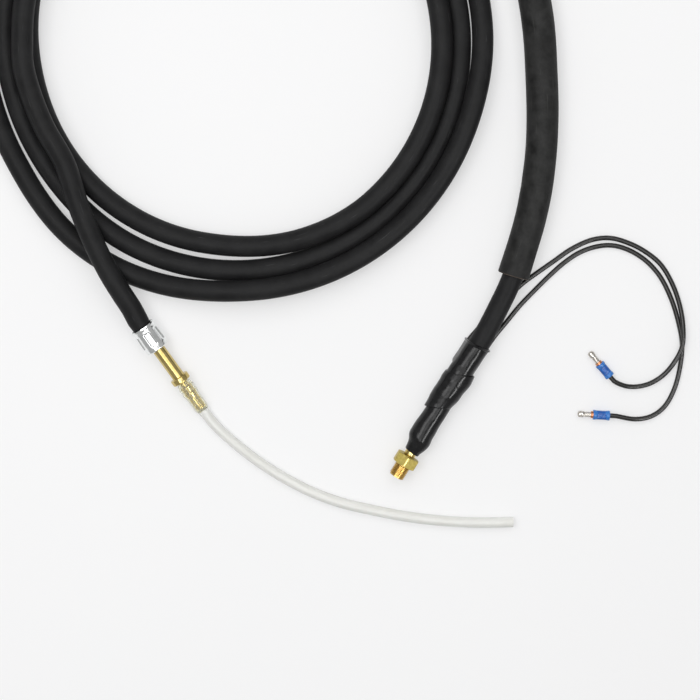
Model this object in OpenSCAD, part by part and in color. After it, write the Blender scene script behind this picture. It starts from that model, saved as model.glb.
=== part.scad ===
// TIG torch cable package: a coiled gas-through power cable with a crimped hose fitting on one
// end and a threaded gas and power connector with two control leads on the other.
// Millimetres, +Z up, floor at z = 0, origin at the centre of the footprint.

/* [Power cable] */
// Outer diameter of the rubber hose
hose_d = 13; // [12:0.5:16]
// Wall of the rubber hose
hose_wall = 2.2; // [1.8:0.1:2.6]
// Share of the hose's bore that the stranded copper conductor fills across
conductor_fill = 0.58; // [0.4:0.02:0.64]

/* [Coil] */
// Radius at which the innermost lane starts
coil_r = 114.3; // [95:1:138]
// Clear gap between neighbouring turns
turn_gap = 0.6; // [0.5:0.1:2]

/* [Protective sleeve] */
// Outer diameter of the loose sleeve over the cable
sleeve_d = 20; // [19:0.5:25]
// Wall of the loose sleeve
sleeve_wall = 1.5; // [1:0.1:1.5]

/* [Hose fitting] */
// Wall of the crimped ferrule
ferrule_wall = 0.9; // [0.5:0.1:1.5]
// Length of the crimped ferrule
ferrule_len = 17; // [14:0.5:21]
// Number of crimp marks around the ferrule
crimp_count = 6; // [4:1:8]
// Diameter of the brass stem
stem_d = 8; // [7:0.5:10]
// Length of the stem between the ferrule and the collar
stem_len = 21.5; // [15:0.5:25]
// Diameter of the collar
collar_d = 12; // [10:0.5:14]
// Thickness of the collar
collar_len = 3.8; // [3:0.2:5]
// Diameter over the barb ridges for the clear tube
barb_d = 8; // [6.5:0.5:9]
// Length of the barb in front of the collar
barb_len = 21; // [18:0.5:27]
// Diameter of the gas passage through the brass pieces
gas_bore_d = 3; // [2:0.5:3.5]

/* [Clear tube] */
// Outer diameter of the clear tube
tube_d = 6.5; // [5.5:0.5:8]
// Wall of the clear tube
tube_wall = 1; // [0.8:0.1:1.3]

/* [Connector] */
// Major diameter of the male thread, M10 x 1
thread_d = 10; // [9.5:0.5:12]
// Length of the male thread
thread_len = 8.6; // [6:0.2:10]
// Width across flats of the swivel nut
hex_af = 14; // [12:0.5:17]
// Thickness of the hexagon
hex_len = 6.6; // [4:0.2:8]
// Diameter of the nipple's journal inside the swivel nut
journal_d = 6; // [5:0.5:6]
// Radial running clearance of the swivel nut
nut_clearance = 0.06; // [0.03:0.01:0.1]
// Diameter of the nipple's barrel under the heat-shrink
barrel_d = 12; // [10:0.5:12]
// Length of the hidden crimp ferrule
hidden_ferrule_len = 17; // [14:0.5:18]

/* [Heat-shrink] */
// Wall of the recovered heat-shrink tubes
shrink_wall = 1; // [0.8:0.1:1.4]

/* [Control leads] */
// Outer diameter of each control lead
wire_d = 3; // [2.4:0.1:3.4]
// Diameter of the bare strands of a control lead
strand_d = 1.9; // [1:0.1:2]
// Length of the blue insulating sleeve
insulator_len = 10.2; // [8:0.2:12]
// Diameter of the bullet
bullet_d = 4; // [3.6:0.1:5]
// Length of the bullet in front of the crimp ring
bullet_len = 8.4; // [7:0.2:10]

/* [Hidden] */
$fn = 64;

// Seating clearance between pieces that are pressed or slid together
fit = 0.1;

// ---- Radii of the cable
hose_r = hose_d / 2;
bore_r = hose_r - hose_wall;
conductor_r = bore_r * conductor_fill;
lead_sides = 12;
tail_r = bore_r * cos(180 / lead_sides) - 0.05;
tail_bore_r = conductor_r + 0.4;

// ---- Coil: a flat spiral, wound clockwise from the left, one lane beside the next
coil_centre = [-57, 67];
pitch = hose_d + turn_gap;
rings_per_turn = 24;
coil_turns = 3.25;
coil_sides = 6;
// How the first turn rolls off the top of the next lane and down to the floor, in degrees
roll_first = 58;
roll_rest = 32;
// How far the outer turn leans up on its neighbour, in degrees
outer_lean = 30;
// Slack that pulls each lane inward in turn, and that of the outer lane, outward
inner_slack = 2;
outer_slack = 3;

function ramp(t, a, b) =
    let (x = min(1, max(0, (t - a) / (b - a))))
    x * x * (3 - 2 * x);
function hump(t, a, b, c, d) = ramp(t, a, b) - ramp(t, c, d);
function roll(t) = -roll_first * ramp(t, 0, 0.5) - roll_rest * ramp(t, 0.64, 0.77);
function lean(t) = outer_lean * hump(t, 2.45, 2.56, 2.74, 2.82);
function slack(t) =
    outer_slack * hump(t, 2.76, 2.84, 2.85, 2.93) - inner_slack * (hump(t, 0.7, 0.78, 0.95, 1.08)
        + hump(t, 1.82, 1.92, 1.94, 2.06) + 0.6 * hump(t, 2.86, 2.93, 2.95, 3.05));
function coil_radius(t) =
    coil_r + pitch * t + pitch * (1 + sin(roll(t))) - pitch * (1 - cos(lean(t))) + slack(t);
function coil_height(t) = hose_r + pitch * cos(roll(t)) + pitch * sin(lean(t));
function coil_point(t) =
    let (a = 180 - 360 * t, r = coil_radius(t))
    [coil_centre.x + r * cos(a), coil_centre.y + r * sin(a), coil_height(t)];
function coil_dir(t) = unit(coil_point(t + 0.001) - coil_point(t - 0.001));
coil_steps = coil_turns * rings_per_turn;
coil_path = [for (i = [0 : coil_steps]) coil_point(i / rings_per_turn)];
coil_dirs = [for (i = [0 : coil_steps]) coil_dir(i / rings_per_turn)];
coil_start = coil_path[0] - hose_d * coil_dirs[0];
coil_end = coil_path[coil_steps] + hose_d * coil_dirs[coil_steps];
coil_route = concat([coil_start], coil_path, [coil_end]);
coil_frames = concat([coil_dirs[0]], coil_dirs, [coil_dirs[coil_steps]]);
coil_gap = min([
    for (i = [0 : coil_steps - rings_per_turn / 2])
        for (j = [i + rings_per_turn / 2 : coil_steps])
            min(norm(coil_path[i] - coil_path[j]),
                norm(coil_path[i] - (coil_path[j] + coil_path[j - 1]) / 2))
]) - hose_d;
echo(coil_least_gap = coil_gap);

// ---- The free leads are laid for one size of coil, and spread or draw in with its outer radius
laid_coil_r = 158.5;
spread = (coil_r + coil_turns * pitch) / laid_coil_r;
function spread_out(p) = coil_centre + spread * ([p.x, p.y] - coil_centre);

// ---- Hose fitting: axis coordinate w is 0 at the ferrule's front face, positive outwards
left_heading = -55.5;
left_tilt = 6.5;
left_at = [-107, -119];
left_shift = spread_out(left_at) - left_at;
ferrule_front_wall = 1.3;
ferrule_bore_r = hose_r + fit;
ferrule_r = ferrule_bore_r + ferrule_wall;
ferrule_flare = 0.35;
left_hose_end = -ferrule_front_wall - 0.2;
collar_w = stem_len;
barb_w = stem_len + collar_len;
barb_end_w = barb_w + barb_len;
barb_tip_r = barb_d / 2 - 0.7;
cuff_end_r = barb_tip_r + fit + tube_wall;
left_z = 0.05 + max(cuff_end_r / cos(left_tilt) + barb_end_w * sin(left_tilt),
    collar_d / 2 + barb_w * sin(left_tilt));
left_origin = [each (left_at + left_shift), left_z];
left_dir = heading(left_heading, left_tilt);

// ---- Connector: axis coordinate w is 0 at the front face of the hexagon, positive outwards
right_heading = 238.5;
right_dir = heading(right_heading, 0);
right_side = [-right_dir.y, right_dir.x, 0];
hidden_ferrule_r = hose_r + fit + 0.9;
bulge_r = hidden_ferrule_r + fit + 1.6 * shrink_wall;
corner_r = hex_af / 2 / cos(30);
barrel_r = barrel_d / 2;
shrink_front_r = barrel_r + fit + shrink_wall;
right_at = [43.95, -191.56];
right_shift = spread_out(right_at) - right_at;
right_z = 0.05 + max(bulge_r, shrink_front_r + fit + shrink_wall, corner_r);
right_origin = [each (right_at + right_shift), right_z];
journal_r = journal_d / 2;
head_r = journal_r + 0.7;
head_len = 2.2;
head_recess = 0.3;
shoulder_r = journal_r + 0.6;
shoulder_w = -hex_len - 0.2;
shrink_mouth_w = -hex_len - 2.9;
taper_len = 8.4;
barrel_front_w = shrink_mouth_w - taper_len;
barrel_rear_w = barrel_front_w - 25.5;
hidden_ferrule_w = barrel_rear_w - 3;
right_hose_end = hidden_ferrule_w - ferrule_front_wall - 0.2;
shrink_front_end = barrel_rear_w - 1.5;
shrink_middle_w = barrel_rear_w + 2;
shrink_rear_w = shrink_middle_w - 24.5;
shrink_rear_len = 21.8;
shrink_end_w = shrink_rear_w - shrink_rear_len;

// ---- Control leads beside the hose inside the rear heat-shrink
wire_r = wire_d / 2;
wire_sides = 8;
wire_beside = 6 * hose_d / 13;
wire_below = sqrt(pow(hose_r + wire_r + 0.05, 2) - wire_beside * wire_beside);
wire_inner_w = shrink_rear_w - 5;
function wire_in_shrink(w, s) =
    right_origin + w * right_dir + [0, 0, -wire_below] + s * wire_beside * right_side;

// ---- Crimped terminals: w is 0 at the rear of the insulating sleeve, positive to the tip
terminals = [[172, -137.1, 130.5], [172.1, -161.8, 176.7]];
insulator_r = 2.8;
insulator_flare_r = 3.05;
terminal_z = insulator_flare_r;
ring_r = 2.15;
ring_front = 1.4;
ring_w = 4;
barrel_wall = 0.7;
pin_r = strand_d / 2 + barrel_wall;
wire_stop_w = 3.4;
terminal_lead = 4;
bullet_r = bullet_d / 2;
tip_w = insulator_len + ring_front + bullet_len;
shank_len = 0.36 * bullet_len;
bullet_land = 0.26 * bullet_len;
bullet_lead_in = 0.12 * bullet_len;
function terminal_at(i) =
    [terminals[i].x + right_shift.x, terminals[i].y + right_shift.y, terminal_z];
function terminal_point(i, w) = terminal_at(i) + w * heading(terminals[i][2], 0);

// ---- Routes: hand-laid points [x, y, lift, hold]. The lift of the underside is counted in lanes
// for the left lead, in entry heights for the bare right lead, in play for the sleeved part,
// where 0 is centred, and in wire or tube diameters for those. Hold is 1 where a lead's point
// keeps its distance to the fitting and 0 where it keeps its place beside the coil.
left_route = [
    [-181, 38, 1, 0], [-173, 17, 1, 0], [-161, -5, 1.01, 0], [-153.5, -29, 1.02, 0],
    [-145, -51, 1.02, 0], [-138, -66, 1, 0], [-133, -75.5, 0.93, 0.1], [-128, -84.5, 0.74, 0.4],
    [-122.5, -94, 0.51, 0.8]
];
left_straight = 20;
right_route_top = [[-14, 226, 0, 0], [18, 219, 0.1, 0], [50, 202, 0.87, 0]];
right_route_sleeved = [
    [74, 184, -0.5, 0], [98, 155, -0.5, 0], [114, 121, -0.5, 0], [123, 86, -0.5, 0],
    [126.5, 50, -0.5, 0], [127.5, 20, -0.5, 0], [126, -8, -0.4, 0.3], [120.7, -40, -0.2, 0.65],
    [110.7, -74, 0, 1]
];
right_route_bare = [101, -95.5];
right_straight = -3;
wire_route_upper = [
    [90, -107.5, 0.33], [96, -100, 0.03], [103.5, -92.5, 0], [112.5, -84, 0], [118, -79, 0],
    [124, -74.5, 0], [136, -66, 0], [147.5, -58, 0], [160, -52.5, 0], [171, -51.5, 0],
    [182, -54.5, 0], [192, -59.5, 0], [202, -67.5, 0], [209.5, -79.5, 0], [214.5, -93.5, 0.35],
    [216.5, -107, 1], [216, -118.5, 1.1], [211.5, -128, 1], [205, -136.5, 0.4],
    [196.5, -142, 0.13], [188, -143.8, 0.2], [181.5, -143.2, 0.4]
];
wire_route_lower = [
    [100.5, -112, 0.33], [107.5, -103.5, 0], [116, -93, 0], [125, -83.5, 0], [134, -74.5, 0],
    [143, -66.5, 0], [152, -60.5, 0], [161.5, -57, 0], [171.5, -56, 0], [181.5, -58.5, 0],
    [192.5, -65, 0], [201.5, -74.5, 0], [208.5, -87.5, 0], [213.5, -102, 0], [216.5, -117, 0],
    [215.5, -131.5, 0], [212, -146, 0], [206, -156.8, 0], [198, -162.5, 0.1],
    [188, -164.1, 0.37]
];
tube_route = [
    [-72.5, -168, 0.02], [-62, -178, 0], [-47, -190, 0], [-31, -200.5, 0], [-13, -210, 0],
    [6, -217, 0], [25, -221.5, 0], [44, -225.3, 0], [63, -227.8, 0], [81, -229.2, 0]
];
tube_end_point = [98 + left_shift.x, -229.5 + left_shift.y, tube_d / 2];
tube_end_heading = 1.5;
tube_end_len = 15;
tube_r = tube_d / 2;
tube_bore_r = tube_r - tube_wall;
tube_sides = 12;
cuff_end_w = barb_end_w + 2.5;

function unit(v) = v / norm(v);
function heading(h, tilt) = [cos(tilt) * cos(h), cos(tilt) * sin(h), -sin(tilt)];
// Points that go with a fitting, and points that go partly with it and partly with the coil
function carried(points, shift, r) = [for (p = points) [p.x + shift.x, p.y + shift.y, p.z * 2 * r + r]];
function laid(points, shift, unit, base) =
    [for (p = points)
        let (q = (1 - p[3]) * spread_out(p) + p[3] * ([p.x, p.y] + shift))
        [q.x, q.y, p.z * unit + base]];
function side(t) = unit([t.y, -t.x, 0]);
function ring(c, t, r, n, spin) =
    [for (k = [0 : n - 1]) c + r * (cos(spin + 360 * k / n) * side(t)
        + sin(spin + 360 * k / n) * cross(side(t), t))];
// Directions along a route whose first and last directions are known
function route_dirs(p, first, last) =
    [for (i = [0 : len(p) - 1])
        i == 0 ? first
        : i == len(p) - 1 ? last
        : unit(unit(p[i + 1] - p[i]) + unit(p[i] - p[i - 1]))];
function rings(route, dirs, r, n, spin) =
    [for (i = [0 : len(route) - 1]) each ring(route[i], dirs[i], r, n, spin)];
// Triangles between ring i and the next, for m rings of n points that start at point o
function wall_faces(m, n, o, inward) =
    [for (i = [0 : m - 2]) for (k = [0 : n - 1])
        let (a = o + i * n + k, b = o + i * n + (k + 1) % n, c = a + n, d = b + n)
        each inward ? [[a, b, d], [a, d, c]] : [[a, d, b], [a, c, d]]];
// Fan that closes one ring of n points
function cap_faces(n, o, last) =
    [for (k = [1 : n - 2]) last ? [o, o + k + 1, o + k] : [o, o + k, o + k + 1]];
// Band between an outer ring at o and an inner ring at q
function rim_faces(n, o, q, last) =
    [for (k = [0 : n - 1])
        let (j = (k + 1) % n)
        each last ? [[o + k, q + k, q + j], [o + k, q + j, o + j]]
            : [[o + k, q + j, q + k], [o + k, o + j, q + j]]];

module solid_cord(route, dirs, r, n, spin = 0) {
    m = len(route);
    polyhedron(
        points = rings(route, dirs, r, n, spin),
        faces = concat(wall_faces(m, n, 0, false), cap_faces(n, 0, false),
            cap_faces(n, (m - 1) * n, true)));
}

module hollow_cord(route, dirs, r, bore, n, spin = 0) {
    m = len(route);
    last = (m - 1) * n;
    polyhedron(
        points = concat(rings(route, dirs, r, n, spin), rings(route, dirs, bore, n, spin)),
        faces = concat(wall_faces(m, n, 0, false), wall_faces(m, n, m * n, true),
            rim_faces(n, 0, m * n, false), rim_faces(n, last, m * n + last, true)));
}

// A turned piece from its half section, points are [radius, w]
module turned(points) rotate_extrude() polygon(points);

module at_hose_fitting() {
    translate(left_origin) rotate([0, 0, left_heading]) rotate([0, 90 + left_tilt, 0]) children();
}

module at_connector() {
    translate(right_origin) rotate([0, 0, right_heading]) rotate([0, 90, 0]) children();
}

module at_terminal(i) {
    translate(terminal_at(i)) rotate([0, 0, terminals[i][2]]) rotate([0, 90, 0]) children();
}

module at_tube_end() {
    translate(tube_end_point) rotate([0, 0, tube_end_heading]) rotate([0, 90, 0]) children();
}

// ---- Routes of the leads, from the coil outwards
lead_left_route = concat(
    [coil_start], laid(left_route, left_shift, pitch, hose_r),
    [left_origin - left_straight * left_dir, left_origin + left_hose_end * left_dir]);
lead_left_dirs = route_dirs(lead_left_route, -coil_dirs[0], left_dir);
sleeve_r = sleeve_d / 2;
sleeve_play = (sleeve_r - sleeve_wall) * cos(180 / lead_sides) - hose_r;
entry_lift = sleeve_r - hose_r - sleeve_play / 2;
lead_right_route = concat(
    [coil_end], laid(right_route_top, right_shift, entry_lift, hose_r),
    laid(right_route_sleeved, right_shift, sleeve_play, sleeve_r),
    [[each (right_route_bare + right_shift), wire_d + 0.4 + hose_r]],
    [right_origin + (shrink_end_w + right_straight) * right_dir,
        right_origin + right_hose_end * right_dir]);
lead_right_dirs = route_dirs(lead_right_route, coil_dirs[coil_steps], right_dir);
// The sleeve shares the cable's points from the last bare one to its mouth
sleeve_first = len(right_route_top);
sleeve_last = sleeve_first + len(right_route_sleeved);
sleeve_route = [for (i = [sleeve_first : sleeve_last])
    [lead_right_route[i].x, lead_right_route[i].y, sleeve_r]];
sleeve_dirs = [for (i = [sleeve_first : sleeve_last])
    unit([lead_right_dirs[i].x, lead_right_dirs[i].y, 0])];
left_socket_w = left_hose_end + 9;
right_socket_w = barrel_rear_w + 10;
wire_routes = [
    concat([wire_in_shrink(wire_inner_w, -1), wire_in_shrink(shrink_end_w, -1)],
        carried(wire_route_upper, right_shift, wire_r),
        [terminal_point(0, -terminal_lead), terminal_point(0, wire_stop_w)]),
    concat([wire_in_shrink(wire_inner_w, 1), wire_in_shrink(shrink_end_w, 1)],
        carried(wire_route_lower, right_shift, wire_r),
        [terminal_point(1, -terminal_lead), terminal_point(1, wire_stop_w)])
];
tube_start = left_origin + cuff_end_w * left_dir;
clear_route = concat([tube_start], carried(tube_route, left_shift, tube_r), [tube_end_point]);
clear_dirs = route_dirs(clear_route, left_dir, heading(tube_end_heading, 0));

module cable_coil() {
    color("#242424") hollow_cord(coil_route, coil_frames, hose_r, bore_r, coil_sides, 30);
}

module cable_lead_left() {
    color("#242424") hollow_cord(lead_left_route, lead_left_dirs, hose_r, bore_r, lead_sides);
}

module cable_lead_right() {
    color("#242424") hollow_cord(lead_right_route, lead_right_dirs, hose_r, bore_r, lead_sides);
}

module conductor_coil() {
    color("#b8703c") solid_cord(coil_route, coil_frames, conductor_r, coil_sides, 30);
}

// Each conductor lead follows its hose and runs on into the socket of the brass piece
module conductor_lead_left() {
    route = concat([for (i = [0 : len(lead_left_route) - 2]) lead_left_route[i]],
        [left_origin + left_socket_w * left_dir]);
    color("#b8703c") solid_cord(route, lead_left_dirs, conductor_r, 8);
}

module conductor_lead_right() {
    route = concat([for (i = [0 : len(lead_right_route) - 2]) lead_right_route[i]],
        [right_origin + right_socket_w * right_dir]);
    color("#b8703c") solid_cord(route, lead_right_dirs, conductor_r, 8);
}

module outer_sleeve() {
    color("#2c2c2a")
        hollow_cord(sleeve_route, sleeve_dirs, sleeve_r, sleeve_r - sleeve_wall, lead_sides);
}

// Steel cup crimped over the hose end, with a lip at each end and pressed marks
module hose_ferrule() {
    lip = 1.2;
    rear = -ferrule_len;
    mark_w = ferrule_len * 0.55;
    color("#c8c8c8") at_hose_fitting() difference() {
        turned([
            [stem_d / 2 + fit / 2, 0], [ferrule_r - 0.7, 0], [ferrule_r - 0.2, -0.5],
            [ferrule_r - 0.2, -lip], [ferrule_r, -lip - 0.8], [ferrule_r, rear + lip + 0.8],
            [ferrule_r + ferrule_flare, rear + lip], [ferrule_r + ferrule_flare, rear + 0.3],
            [ferrule_r + 0.1, rear], [ferrule_bore_r, rear],
            [ferrule_bore_r, -ferrule_front_wall], [stem_d / 2 + fit / 2, -ferrule_front_wall]
        ]);
        for (k = [0 : crimp_count - 1])
            rotate([0, 0, 360 * k / crimp_count + 30])
                translate([ferrule_r - 0.3, -1.8, -ferrule_len / 2 - mark_w / 2])
                    cube([2, 3.6, mark_w]);
    }
}

// Brass piece: barbed tail in the hose, plain stem, collar and barb for the clear tube
module barbed_stem() {
    tail_end = -ferrule_len + 1;
    step = 3.6;
    neck_r = barb_d / 2 - 1.5;
    ridge = barb_w + 3.4;
    color("#b99a48") at_hose_fitting() difference() {
        union() {
            turned([
                [0, tail_end], [tail_r - 0.4, tail_end], [tail_r, tail_end + step],
                [tail_r - 0.4, tail_end + step], [tail_r, tail_end + 2 * step],
                [tail_r - 0.4, tail_end + 2 * step], [tail_r, tail_end + 3 * step],
                [tail_r - 0.4, tail_end + 3 * step], [tail_r - 0.4, -ferrule_front_wall - 0.1],
                [stem_d / 2, -ferrule_front_wall - 0.1], [stem_d / 2, collar_w],
                [collar_d / 2 - 0.4, collar_w], [collar_d / 2, collar_w + 0.4],
                [collar_d / 2, barb_w - 0.4], [collar_d / 2 - 0.4, barb_w], [0, barb_w]
            ]);
            turned([
                [0, barb_w - 1], [neck_r, barb_w - 1], [neck_r, ridge], [barb_d / 2, ridge + 0.6],
                [barb_tip_r, ridge + 4.2], [barb_d / 2, ridge + 4.8], [barb_tip_r, ridge + 8.6],
                [barb_tip_r, barb_end_w - 0.6], [barb_tip_r - 0.6, barb_end_w], [0, barb_end_w]
            ]);
        }
        translate([0, 0, tail_end - 1]) cylinder(r = gas_bore_d / 2, h = barb_end_w - tail_end + 2);
        translate([0, 0, tail_end - 1]) cylinder(r = tail_bore_r, h = -tail_end - 1);
        translate([0, 0, -3]) cylinder(r = conductor_r, h = left_socket_w + 3);
        for (s = [-1, 1])
            translate([0, s * conductor_r, -3]) cylinder(r = 0.7, h = left_socket_w + 4);
    }
}

// The end of the clear tube, stretched over the barb
module clear_tube_cuff() {
    ridge = barb_w + 3.4;
    neck = barb_d / 2 - 1.5;
    color("#dfe6e6", 0.5) at_hose_fitting() turned([
        [neck + fit, barb_w + 0.2], [neck + fit + tube_wall, barb_w + 0.2],
        [barb_d / 2 + tube_wall, ridge + 0.2], [barb_d / 2 + tube_wall, ridge + 5.4],
        [cuff_end_r, ridge + 8.8], [cuff_end_r, barb_end_w],
        [tube_r, cuff_end_w], [tube_bore_r, cuff_end_w], [barb_tip_r + fit, barb_end_w + 0.1],
        [barb_tip_r + fit, ridge + 8.6], [barb_d / 2 + fit, ridge + 5.2],
        [barb_d / 2 + fit, ridge + 0.2]
    ]);
}

module clear_tube() {
    color("#dfe6e6", 0.5) hollow_cord(clear_route, clear_dirs, tube_r, tube_bore_r, tube_sides);
}

module clear_tube_end() {
    color("#dfe6e6", 0.5) at_tube_end() difference() {
        cylinder(r = tube_r, h = tube_end_len);
        translate([0, 0, -1]) cylinder(r = tube_bore_r, h = tube_end_len + 2);
    }
}

// Brass core of the connector: head, journal, shoulder, barrel and barbed hose tail
module connector_nipple() {
    head_w = thread_len - head_recess;
    tail_end = hidden_ferrule_w - hidden_ferrule_len + 1;
    step = 3.6;
    color("#b99a48") at_connector() difference() {
        turned([
            [0, head_w], [head_r - 0.3, head_w], [head_r, head_w - 0.3],
            [head_r, head_w - head_len], [journal_r, head_w - head_len],
            [journal_r, shoulder_w], [shoulder_r, shoulder_w], [shoulder_r, shrink_mouth_w - 0.6],
            [barrel_r, barrel_front_w], [barrel_r, barrel_rear_w + 0.5],
            [barrel_r - 0.5, barrel_rear_w], [tail_r, barrel_rear_w],
            [tail_r, tail_end + 3 * step], [tail_r - 0.4, tail_end + 3 * step],
            [tail_r, tail_end + 2 * step], [tail_r - 0.4, tail_end + 2 * step],
            [tail_r, tail_end + step], [tail_r - 0.4, tail_end + step],
            [tail_r - 0.6, tail_end], [0, tail_end]
        ]);
        translate([0, 0, tail_end - 1]) cylinder(r = gas_bore_d / 2, h = head_w - tail_end + 2);
        translate([0, 0, tail_end - 1])
            cylinder(r = tail_bore_r, h = barrel_rear_w - tail_end + 1);
        translate([0, 0, barrel_rear_w - 1])
            cylinder(r = conductor_r, h = right_socket_w - barrel_rear_w + 1);
        for (s = [-1, 1])
            translate([0, s * conductor_r, barrel_rear_w - 1])
                cylinder(r = 0.7, h = right_socket_w - barrel_rear_w + 2);
        translate([0, 0, head_w - 1.2])
            cylinder(r1 = gas_bore_d / 2, r2 = head_r - 0.9, h = 1.21);
    }
}

// Hexagon and male thread in one piece, free to turn on the nipple's journal
module swivel_nut() {
    chamfer = 0.6;
    seat_w = thread_len - head_recess - head_len - 0.2;
    color("#c9aa4e") at_connector() difference() {
        union() {
            intersection() {
                translate([0, 0, -hex_len]) cylinder(r = corner_r, h = hex_len, $fn = 6);
                turned([
                    [0, -hex_len], [corner_r - 1.1, -hex_len], [corner_r, -hex_len + 0.6],
                    [corner_r, -0.6], [corner_r - 1.1, 0], [0, 0]
                ]);
            }
            turned([
                [0, -0.5], [thread_d / 2, -0.5], [thread_d / 2, thread_len - chamfer],
                [thread_d / 2 - chamfer, thread_len], [0, thread_len]
            ]);
        }
        translate([0, 0, -hex_len - 1])
            cylinder(r = journal_r + nut_clearance, h = hex_len + thread_len + 2);
        translate([0, 0, seat_w]) cylinder(r = head_r + nut_clearance, h = thread_len);
    }
}

// Crimp ferrule over the hose end, hidden under the heat-shrink
module connector_ferrule() {
    color("#c8c8c8") at_connector() translate([0, 0, hidden_ferrule_w]) turned([
        [tail_r + fit / 2, 0], [hidden_ferrule_r - 0.6, 0], [hidden_ferrule_r, -0.8],
        [hidden_ferrule_r, -hidden_ferrule_len + 0.4],
        [hidden_ferrule_r - 0.3, -hidden_ferrule_len], [hose_r + fit, -hidden_ferrule_len],
        [hose_r + fit, -ferrule_front_wall], [tail_r + fit / 2, -ferrule_front_wall]
    ]);
}

module shrink_front() {
    mouth_r = shoulder_r + fit;
    inner = barrel_r + fit;
    color("#1d1d1d") at_connector() turned([
        [mouth_r, shrink_mouth_w], [mouth_r + 1.5 * shrink_wall, shrink_mouth_w],
        [shrink_front_r, barrel_front_w + 1], [shrink_front_r, shrink_front_end],
        [inner, shrink_front_end], [inner, barrel_front_w + 0.2], [mouth_r, shrink_mouth_w - 0.4]
    ]);
}

// Heat-shrink over the crimp, stretched into a bulge by the hidden ferrule
module shrink_middle() {
    inner = hidden_ferrule_r + fit;
    front = shrink_front_r + fit;
    end_w = hidden_ferrule_w - hidden_ferrule_len;
    hose_bore = hose_r + fit;
    color("#1d1d1d") at_connector() turned([
        [front, shrink_middle_w], [front + shrink_wall, shrink_middle_w],
        [front + shrink_wall, shrink_front_end + 1], [bulge_r - 0.5, hidden_ferrule_w - 1],
        [bulge_r, hidden_ferrule_w - 6], [bulge_r, end_w + 3], [inner + shrink_wall, end_w],
        [hose_bore + 2 * shrink_wall, shrink_rear_w], [hose_bore, shrink_rear_w],
        [hose_bore, end_w - 0.6], [inner, end_w - 0.3], [inner, hidden_ferrule_w + 0.2],
        [front, shrink_front_end - 0.2]
    ]);
}

// Outline of the cable with a control lead at each lower side, grown by a wall
module bundle_outline(grow) {
    hull() {
        circle(r = hose_r + grow, $fn = 32);
        for (s = [-1, 1])
            translate([wire_below, s * wire_beside]) circle(r = wire_r + grow, $fn = 24);
    }
}

module shrink_rear() {
    color("#1d1d1d") at_connector() translate([0, 0, shrink_end_w])
        linear_extrude(shrink_rear_len) difference() {
            bundle_outline(fit + shrink_wall);
            bundle_outline(fit);
        }
}

module control_wire(i) {
    route = wire_routes[i];
    color("#1a1a1a")
        solid_cord(route, route_dirs(route, -right_dir, heading(terminals[i][2], 0)),
            wire_r, wire_sides);
}

module wire_strands(i) {
    color("#b8703c") at_terminal(i) translate([0, 0, wire_stop_w])
        cylinder(r = strand_d / 2, h = insulator_len - wire_stop_w - 1);
}

// Bullet with its crimp barrel in one piece
module bullet_pin(i) {
    front = insulator_len + ring_front;
    nose = tip_w - bullet_r * 0.6;
    color("#cfcfcf") at_terminal(i) turned([
        [strand_d / 2 + 0.02, ring_w], [pin_r, ring_w], [pin_r, front + shank_len],
        [pin_r + 0.15, front + shank_len + 0.2], [pin_r - 0.1, front + shank_len + 0.6],
        [pin_r - 0.1, nose - bullet_land - bullet_lead_in], [bullet_r, nose - bullet_land], [bullet_r, nose],
        [bullet_r * 0.94, nose + bullet_r * 0.22], [bullet_r * 0.75, nose + bullet_r * 0.42],
        [bullet_r * 0.4, tip_w - 0.1], [0, tip_w], [0, insulator_len - 0.9],
        [strand_d / 2 + 0.02, insulator_len - 0.9]
    ]);
}

module crimp_ring(i) {
    color("#c46a32") at_terminal(i) translate([0, 0, ring_w]) difference() {
        cylinder(r = ring_r, h = insulator_len + ring_front - ring_w);
        translate([0, 0, -1]) cylinder(r = pin_r + 0.02, h = insulator_len + ring_front);
    }
}

// Flared blue sleeve, tight on the crimp ring and open at the rear for the lead
module insulator(i) {
    rear_r = wire_r + 0.06;
    bore = ring_r + 0.04;
    color("#2a6fc0") at_terminal(i) turned([
        [rear_r + 0.5, 0], [insulator_flare_r, 0], [insulator_flare_r, 1.4], [insulator_r, 2.6],
        [insulator_r, insulator_len - 2.4], [insulator_flare_r, insulator_len - 1.2],
        [insulator_flare_r, insulator_len], [bore, insulator_len], [bore, ring_w - 0.2],
        [rear_r, ring_w - 0.8], [rear_r, 0.6]
    ]);
}

module control_wire_upper() control_wire(0);
module control_wire_lower() control_wire(1);
module wire_strands_upper() wire_strands(0);
module wire_strands_lower() wire_strands(1);
module bullet_pin_upper() bullet_pin(0);
module bullet_pin_lower() bullet_pin(1);
module crimp_ring_upper() crimp_ring(0);
module crimp_ring_lower() crimp_ring(1);
module insulator_upper() insulator(0);
module insulator_lower() insulator(1);

cable_coil();
cable_lead_left();
cable_lead_right();
conductor_coil();
conductor_lead_left();
conductor_lead_right();
outer_sleeve();
hose_ferrule();
barbed_stem();
clear_tube_cuff();
clear_tube();
clear_tube_end();
connector_nipple();
swivel_nut();
connector_ferrule();
shrink_front();
shrink_middle();
shrink_rear();
control_wire_upper();
control_wire_lower();
wire_strands_upper();
wire_strands_lower();
bullet_pin_upper();
bullet_pin_lower();
crimp_ring_upper();
crimp_ring_lower();
insulator_upper();
insulator_lower();
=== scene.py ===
import math
import bpy
import bmesh
from mathutils import Matrix, Vector, noise


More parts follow.
